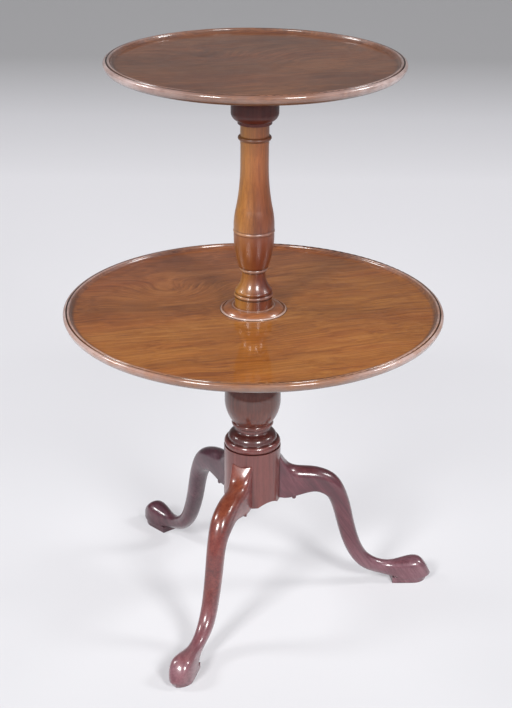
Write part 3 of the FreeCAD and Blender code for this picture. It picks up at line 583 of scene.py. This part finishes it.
def banded(shader, color, bands):
    """Bands round a turning, each between two heights or two radii, with a tone and its share."""
    measures = {"radius": from_axis(shader), "height": above_floor(shader)}
    for way, low, high, tone, share in bands:
        measure = measures[way]
        rise = shader.fit(measure, (low - BAND_EDGE, low + BAND_EDGE))
        fall = shader.fit(measure, (high + BAND_EDGE, high - BAND_EDGE), (0.0, share))
        color = shader.mix(shader.math("MULTIPLY", rise, fall), color, tone)
    return color


def moulded_rim(shader, color, edge_radius, bottom):
    """A tier's rim: patina with painted sheen on its beads, paler towards the sides as a painted reflection,
    grime and painted shade in its quirk, painted shade in its cove, and a face that darkens downwards as
    painted shade.
    """
    # Painted shade in the quirk and cove, and patina with painted sheen, by the distance in from the edge
    inward = shader.fit(from_axis(shader), (edge_radius, edge_radius - RIM_REACH))
    shade = shader.ramp(inward, [(start / RIM_REACH, grey(dim)) for start, dim, share in RIM_SHADE_AND_SHEEN])
    patina_sheen_share = shader.ramp(inward, [(start / RIM_REACH, grey(share)) for start, dim, share in RIM_SHADE_AND_SHEEN])
    place = shader.place()
    blotches = shader.fit(shader.noise(place, *BLOTCHES), BLOTCH_SPAN, BLOTCH_SHARES)
    aside = shader.math("ABSOLUTE", shader.dot(place, RIGHT))
    # Paler towards both sides as a painted reflection
    paler = shader.fit(aside, [share * edge_radius for share in RIM_PALE_SPAN])
    tone = shader.mix(paler, RIM_PATINA_AND_SHEEN, RIM_PAINTED_SIDE_REFLECTION)
    color = shader.mix(shader.math("MULTIPLY", patina_sheen_share, blotches), color, tone)
    color = shader.mix(1.0, color, shade, "MULTIPLY")
    # Painted shade towards the foot of the face
    face = shader.fit(above_floor(shader), (bottom, bottom + RIM_FACE), (RIM_FACE_DARKEST, 1.0))
    face_shade = shader.add("ShaderNodeCombineXYZ", {"X": face, "Y": face, "Z": face}).outputs["Vector"]
    return shader.mix(1.0, color, face_shade, "MULTIPLY")


def stained_and_painted_light(shader, look, color, space, pores, dark):
    """The colour with red patches, dark pores, and the bands or the rim that the piece has, with their
    painted highlights, sheen, reflection and shade.
    """
    patches = shader.fit(streaks(shader, space, *PATCHES), PATCH_SPAN, (0.0, look.blush))
    color = shader.mix(patches, color, BLUSH, "MULTIPLY")
    color = shader.mix(pores, color, dark)
    if look.bands:
        color = banded(shader, color, look.bands)
    if look.rim:
        color = moulded_rim(shader, color, *look.rim)
    return color


def worn_grimy_and_shaded(shader, look, color, space, normal, tones):
    """The colour with edges worn pale, and grime and painted shade in the quirks, left off near the rim,
    which has its own.
    """
    dark, light = tones[0], tones[-1]
    if look.soft_edges:
        wear = shader.fit(shader.noise(space, *WEAR), WEAR_SPAN, (0.0, WEAR_SHARE))
        color = shader.mix(shader.math("MULTIPLY", edge_share(shader, normal), wear), color, light)
    # Grime and painted shade where a place is closed in
    grime_and_shade = grime_and_shade_share(shader)
    if look.rim:
        edge_radius = look.rim[0]
        inside = shader.fit(from_axis(shader), [edge_radius - share * RIM_REACH for share in RIM_GRIME_AND_SHADE_SPAN])
        grime_and_shade = shader.math("MULTIPLY", grime_and_shade, inside)
    return shader.mix(shader.math("MULTIPLY", grime_and_shade, GRIME_AND_SHADE_SHARE), color, dimmed(dark, GRIME_AND_SHADE_DARKNESS))


def polished(shader, look, color, normal, space, relief):
    """The coat over wood of uneven gloss, with a slight relief below the coat."""
    coat_roughness = look.coat_roughness
    if look.dull:
        heights, dull_roughness = look.dull
        coat_roughness = shader.fit(above_floor(shader), heights, (coat_roughness, dull_roughness))
    bump = shader.add("ShaderNodeBump", {
        "Height": relief,
        "Normal": normal,
        "Strength": RELIEF_STRENGTH,
        "Distance": RELIEF_DEPTH,
    })
    principled = shader.add("ShaderNodeBsdfPrincipled", {
        "Base Color": color,
        "Roughness": shader.fit(shader.noise(space, *SMUDGES), SMUDGE_SPAN, WOOD_ROUGHNESS),
        "Normal": bump.outputs["Normal"],
        "Specular IOR Level": WOOD_SPECULAR,
        "Coat Weight": look.coat,
        "Coat Roughness": coat_roughness,
        "Coat IOR": COAT_IOR,
        "Coat Normal": normal,
    })
    return principled.outputs["BSDF"]


def mahogany(name, tones, **settings):
    """Polished mahogany in tones from dark to light, with the settings that PLAIN_LOOK lists."""
    look = SimpleNamespace(**{**PLAIN_LOOK, **settings})
    shader = Shader(name)
    space = grain_space(shader, look.turn, look.shift)
    tone, fine = wood_figure(shader, look, space)
    pores = shader.fit(streaks(shader, space, *PORES), PORE_SPAN, (0.0, PORE_SHARE))
    normal = wood_normal(shader, look)
    color = wood_color(shader, look, tone, tones)
    color = stained_and_painted_light(shader, look, color, space, pores, tones[0])
    color = worn_grimy_and_shaded(shader, look, color, space, normal, tones)
    pits = shader.math("MULTIPLY", pores, PORE_RELIEF)
    relief = shader.math("ADD", pits, shader.math("MULTIPLY", fine, STREAK_RELIEF))
    return shader.finish(polished(shader, look, color, normal, space, relief))


# Iron and steel

def old_iron(name, tone, roughness):
    """Old iron or steel: mottled, pitted and dull, brighter along its edges."""
    shader = Shader(name)
    mottle = shader.noise(shader.place(), *MOTTLE)
    color = shader.ramp(mottle, list(zip(MOTTLE_PLACES, (dimmed(tone, IRON_SHADOW), tone, RUST))))
    normal = soft_normal(shader)
    edge = shader.math("MULTIPLY", edge_share(shader, normal), IRON_EDGE_SHARE)
    color = shader.mix(edge, color, dimmed(tone, IRON_EDGE))
    bump = shader.add("ShaderNodeBump", {
        "Height": mottle,
        "Normal": normal,
        "Strength": PIT_STRENGTH,
        "Distance": PIT_DEPTH,
    })
    principled = shader.add("ShaderNodeBsdfPrincipled", {
        "Base Color": color,
        "Metallic": IRON_METALLIC,
        "Roughness": shader.fit(mottle, MOTTLE_SPAN, (roughness, roughness + ROUGHNESS_SPREAD)),
        "Normal": bump.outputs["Normal"],
    })
    return shader.finish(principled.outputs["BSDF"])


# Materials of the nodes

def finish_node(name, material):
    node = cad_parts[name]
    node.data.materials.clear()
    node.data.materials.append(material)


def finish_tiers():
    for name, look in TIERS.items():
        low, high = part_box(name)
        rim = (high[0], low[2])
        finish_node(name, mahogany(f"{name}_wood", rim=rim, **TIER_LOOK, **look))


def finish_turnings():
    for name, look in TURNINGS.items():
        finish_node(name, mahogany(f"{name}_wood", **look))


def finish_legs():
    for index, (name, (azimuth, sides, upper, foot)) in enumerate(LEGS.items()):
        look = {
            "tones": sides,
            "turn": (0.0, -math.radians(LEG_GRAIN_SLOPE_DEG), -math.radians(azimuth)),
            "shift": (FIRST_LEG_SHIFT + index, 0.0, 0.0),
            "top_tones": upper,
            "fades": ((foot, DOWN, LEG_FOOT_SPAN),),
        }
        finish_node(name, mahogany(f"{name}_wood", **LEG_LOOK, **look))


def finish_ironwork():
    finish_node("brace_plate", old_iron("brace_iron", IRON_TONE, IRON_ROUGHNESS))
    steel = old_iron("screw_steel", STEEL_TONE, STEEL_ROUGHNESS)
    for name in ("brace_screws", "lower_boss_screws", "top_boss_screws"):
        finish_node(name, steel)


# Studio

def sweep_profile():
    """Floor, bend and wall of the sweep, as (y, z) from its front edge."""
    bend = []
    for step in range(SWEEP_BEND_STEPS + 1):
        angle = math.pi / 2 * step / SWEEP_BEND_STEPS
        bend.append((SWEEP_BEND_START + SWEEP_BEND_RADIUS * math.sin(angle),
                     SWEEP_BEND_RADIUS * (1.0 - math.cos(angle))))
    return [(SWEEP_FRONT, 0.0)] + bend + [(SWEEP_BEND_START + SWEEP_BEND_RADIUS, SWEEP_TOP)]


def add_sweep():
    mesh = bmesh.new()
    rows = [[mesh.verts.new((side * SWEEP_HALF_WIDTH, y, z)) for side in (-1, 1)] for y, z in sweep_profile()]
    for near, far in zip(rows, rows[1:]):
        face = mesh.faces.new((near[0], near[1], far[1], far[0]))
        face.smooth = True
    data = bpy.data.meshes.new("studio_sweep")
    mesh.to_mesh(data)
    mesh.free()
    sweep = bpy.data.objects.new("studio_sweep", data)
    bpy.context.scene.collection.objects.link(sweep)
    data.materials.append(sweep_material())


def sweep_material():
    """Matt paper, pale on the floor and greyer up the wall, with a glow for the camera's own rays."""
    shader = Shader("sweep_paper")
    parts = shader.add("ShaderNodeSeparateXYZ", {"Vector": shader.place()}).outputs
    first, last = SWEEP_TONES[0][0], SWEEP_TONES[-1][0]
    way = shader.fit(shader.math("ADD", parts["Y"], parts["Z"]), (first, last))
    stops = [((start - first) / (last - first), tone, grey(glow)) for start, tone, glow in SWEEP_TONES]
    color = shader.ramp(way, [(at, tone) for at, tone, glow in stops])
    glow = shader.ramp(way, [(at, glow) for at, tone, glow in stops])
    seen = shader.add("ShaderNodeLightPath").outputs["Is Camera Ray"]
    share = shader.fit(seen, (0.0, 1.0), (1.0, SWEEP_SEEN))
    paper = shader.add("ShaderNodeBsdfDiffuse", {"Color": shader.scaled(color, share)})
    tinted = shader.vector_math("MULTIPLY", glow, SWEEP_GLOW_TINT)
    lit = shader.add("ShaderNodeEmission", {"Color": tinted, "Strength": seen})
    both = shader.add("ShaderNodeAddShader", {0: paper.outputs["BSDF"], 1: lit.outputs["Emission"]})
    return shader.finish(both.outputs["Shader"])


def add_softbox(name, azimuth, elevation, distance, width, height, power):
    light = bpy.data.lights.new(name, "AREA")
    light.shape = "RECTANGLE"
    light.size = width
    light.size_y = height
    light.energy = power
    holder = bpy.data.objects.new(name, light)
    level = math.cos(math.radians(elevation))
    way = Vector((math.sin(math.radians(azimuth)) * level, -math.cos(math.radians(azimuth)) * level,
                  math.sin(math.radians(elevation))))
    holder.location = Vector(SOFTBOX_AIM) + distance * way
    holder.rotation_euler = way.to_track_quat("Z", "Y").to_euler()
    bpy.context.scene.collection.objects.link(holder)


def add_world():
    world = bpy.data.worlds.new("studio_air")
    world.use_nodes = True
    tree = world.node_tree
    background = tree.nodes["Background"]
    background.inputs["Color"].default_value = (*WORLD_TONE, 1.0)
    rays = tree.nodes.new("ShaderNodeLightPath")
    seen = tree.nodes.new("ShaderNodeMath")
    seen.operation = "MAXIMUM"
    strength = tree.nodes.new("ShaderNodeMapRange")
    strength.inputs["To Min"].default_value = WORLD_LIGHT
    strength.inputs["To Max"].default_value = WORLD_SEEN
    tree.links.new(rays.outputs["Is Camera Ray"], seen.inputs[0])
    tree.links.new(rays.outputs["Is Glossy Ray"], seen.inputs[1])
    tree.links.new(seen.outputs["Value"], strength.inputs["Value"])
    tree.links.new(strength.outputs["Result"], background.inputs["Strength"])
    bpy.context.scene.world = world


def add_camera():
    camera = bpy.data.cameras.new("photo_camera")
    camera.lens = CAMERA_LENS_MM
    camera.sensor_width = SENSOR_MM
    holder = bpy.data.objects.new("photo_camera", camera)
    holder.matrix_world = (Matrix.Translation(CAMERA_EYE)
                           @ Matrix.Rotation(-math.radians(CAMERA_YAW_DEG), 4, "Z")
                           @ Matrix.Rotation(math.radians(90.0 - CAMERA_PITCH_DEG), 4, "X")
                           @ Matrix.Rotation(math.radians(CAMERA_ROLL_DEG), 4, "Z"))
    bpy.context.scene.collection.objects.link(holder)
    bpy.context.scene.camera = holder


finish_tiers()
finish_turnings()
finish_legs()
finish_ironwork()
add_sweep()
for softbox, settings in SOFTBOXES.items():
    add_softbox(softbox, *settings)
add_world()
add_camera()
bpy.context.scene.view_settings.view_transform = "Standard"
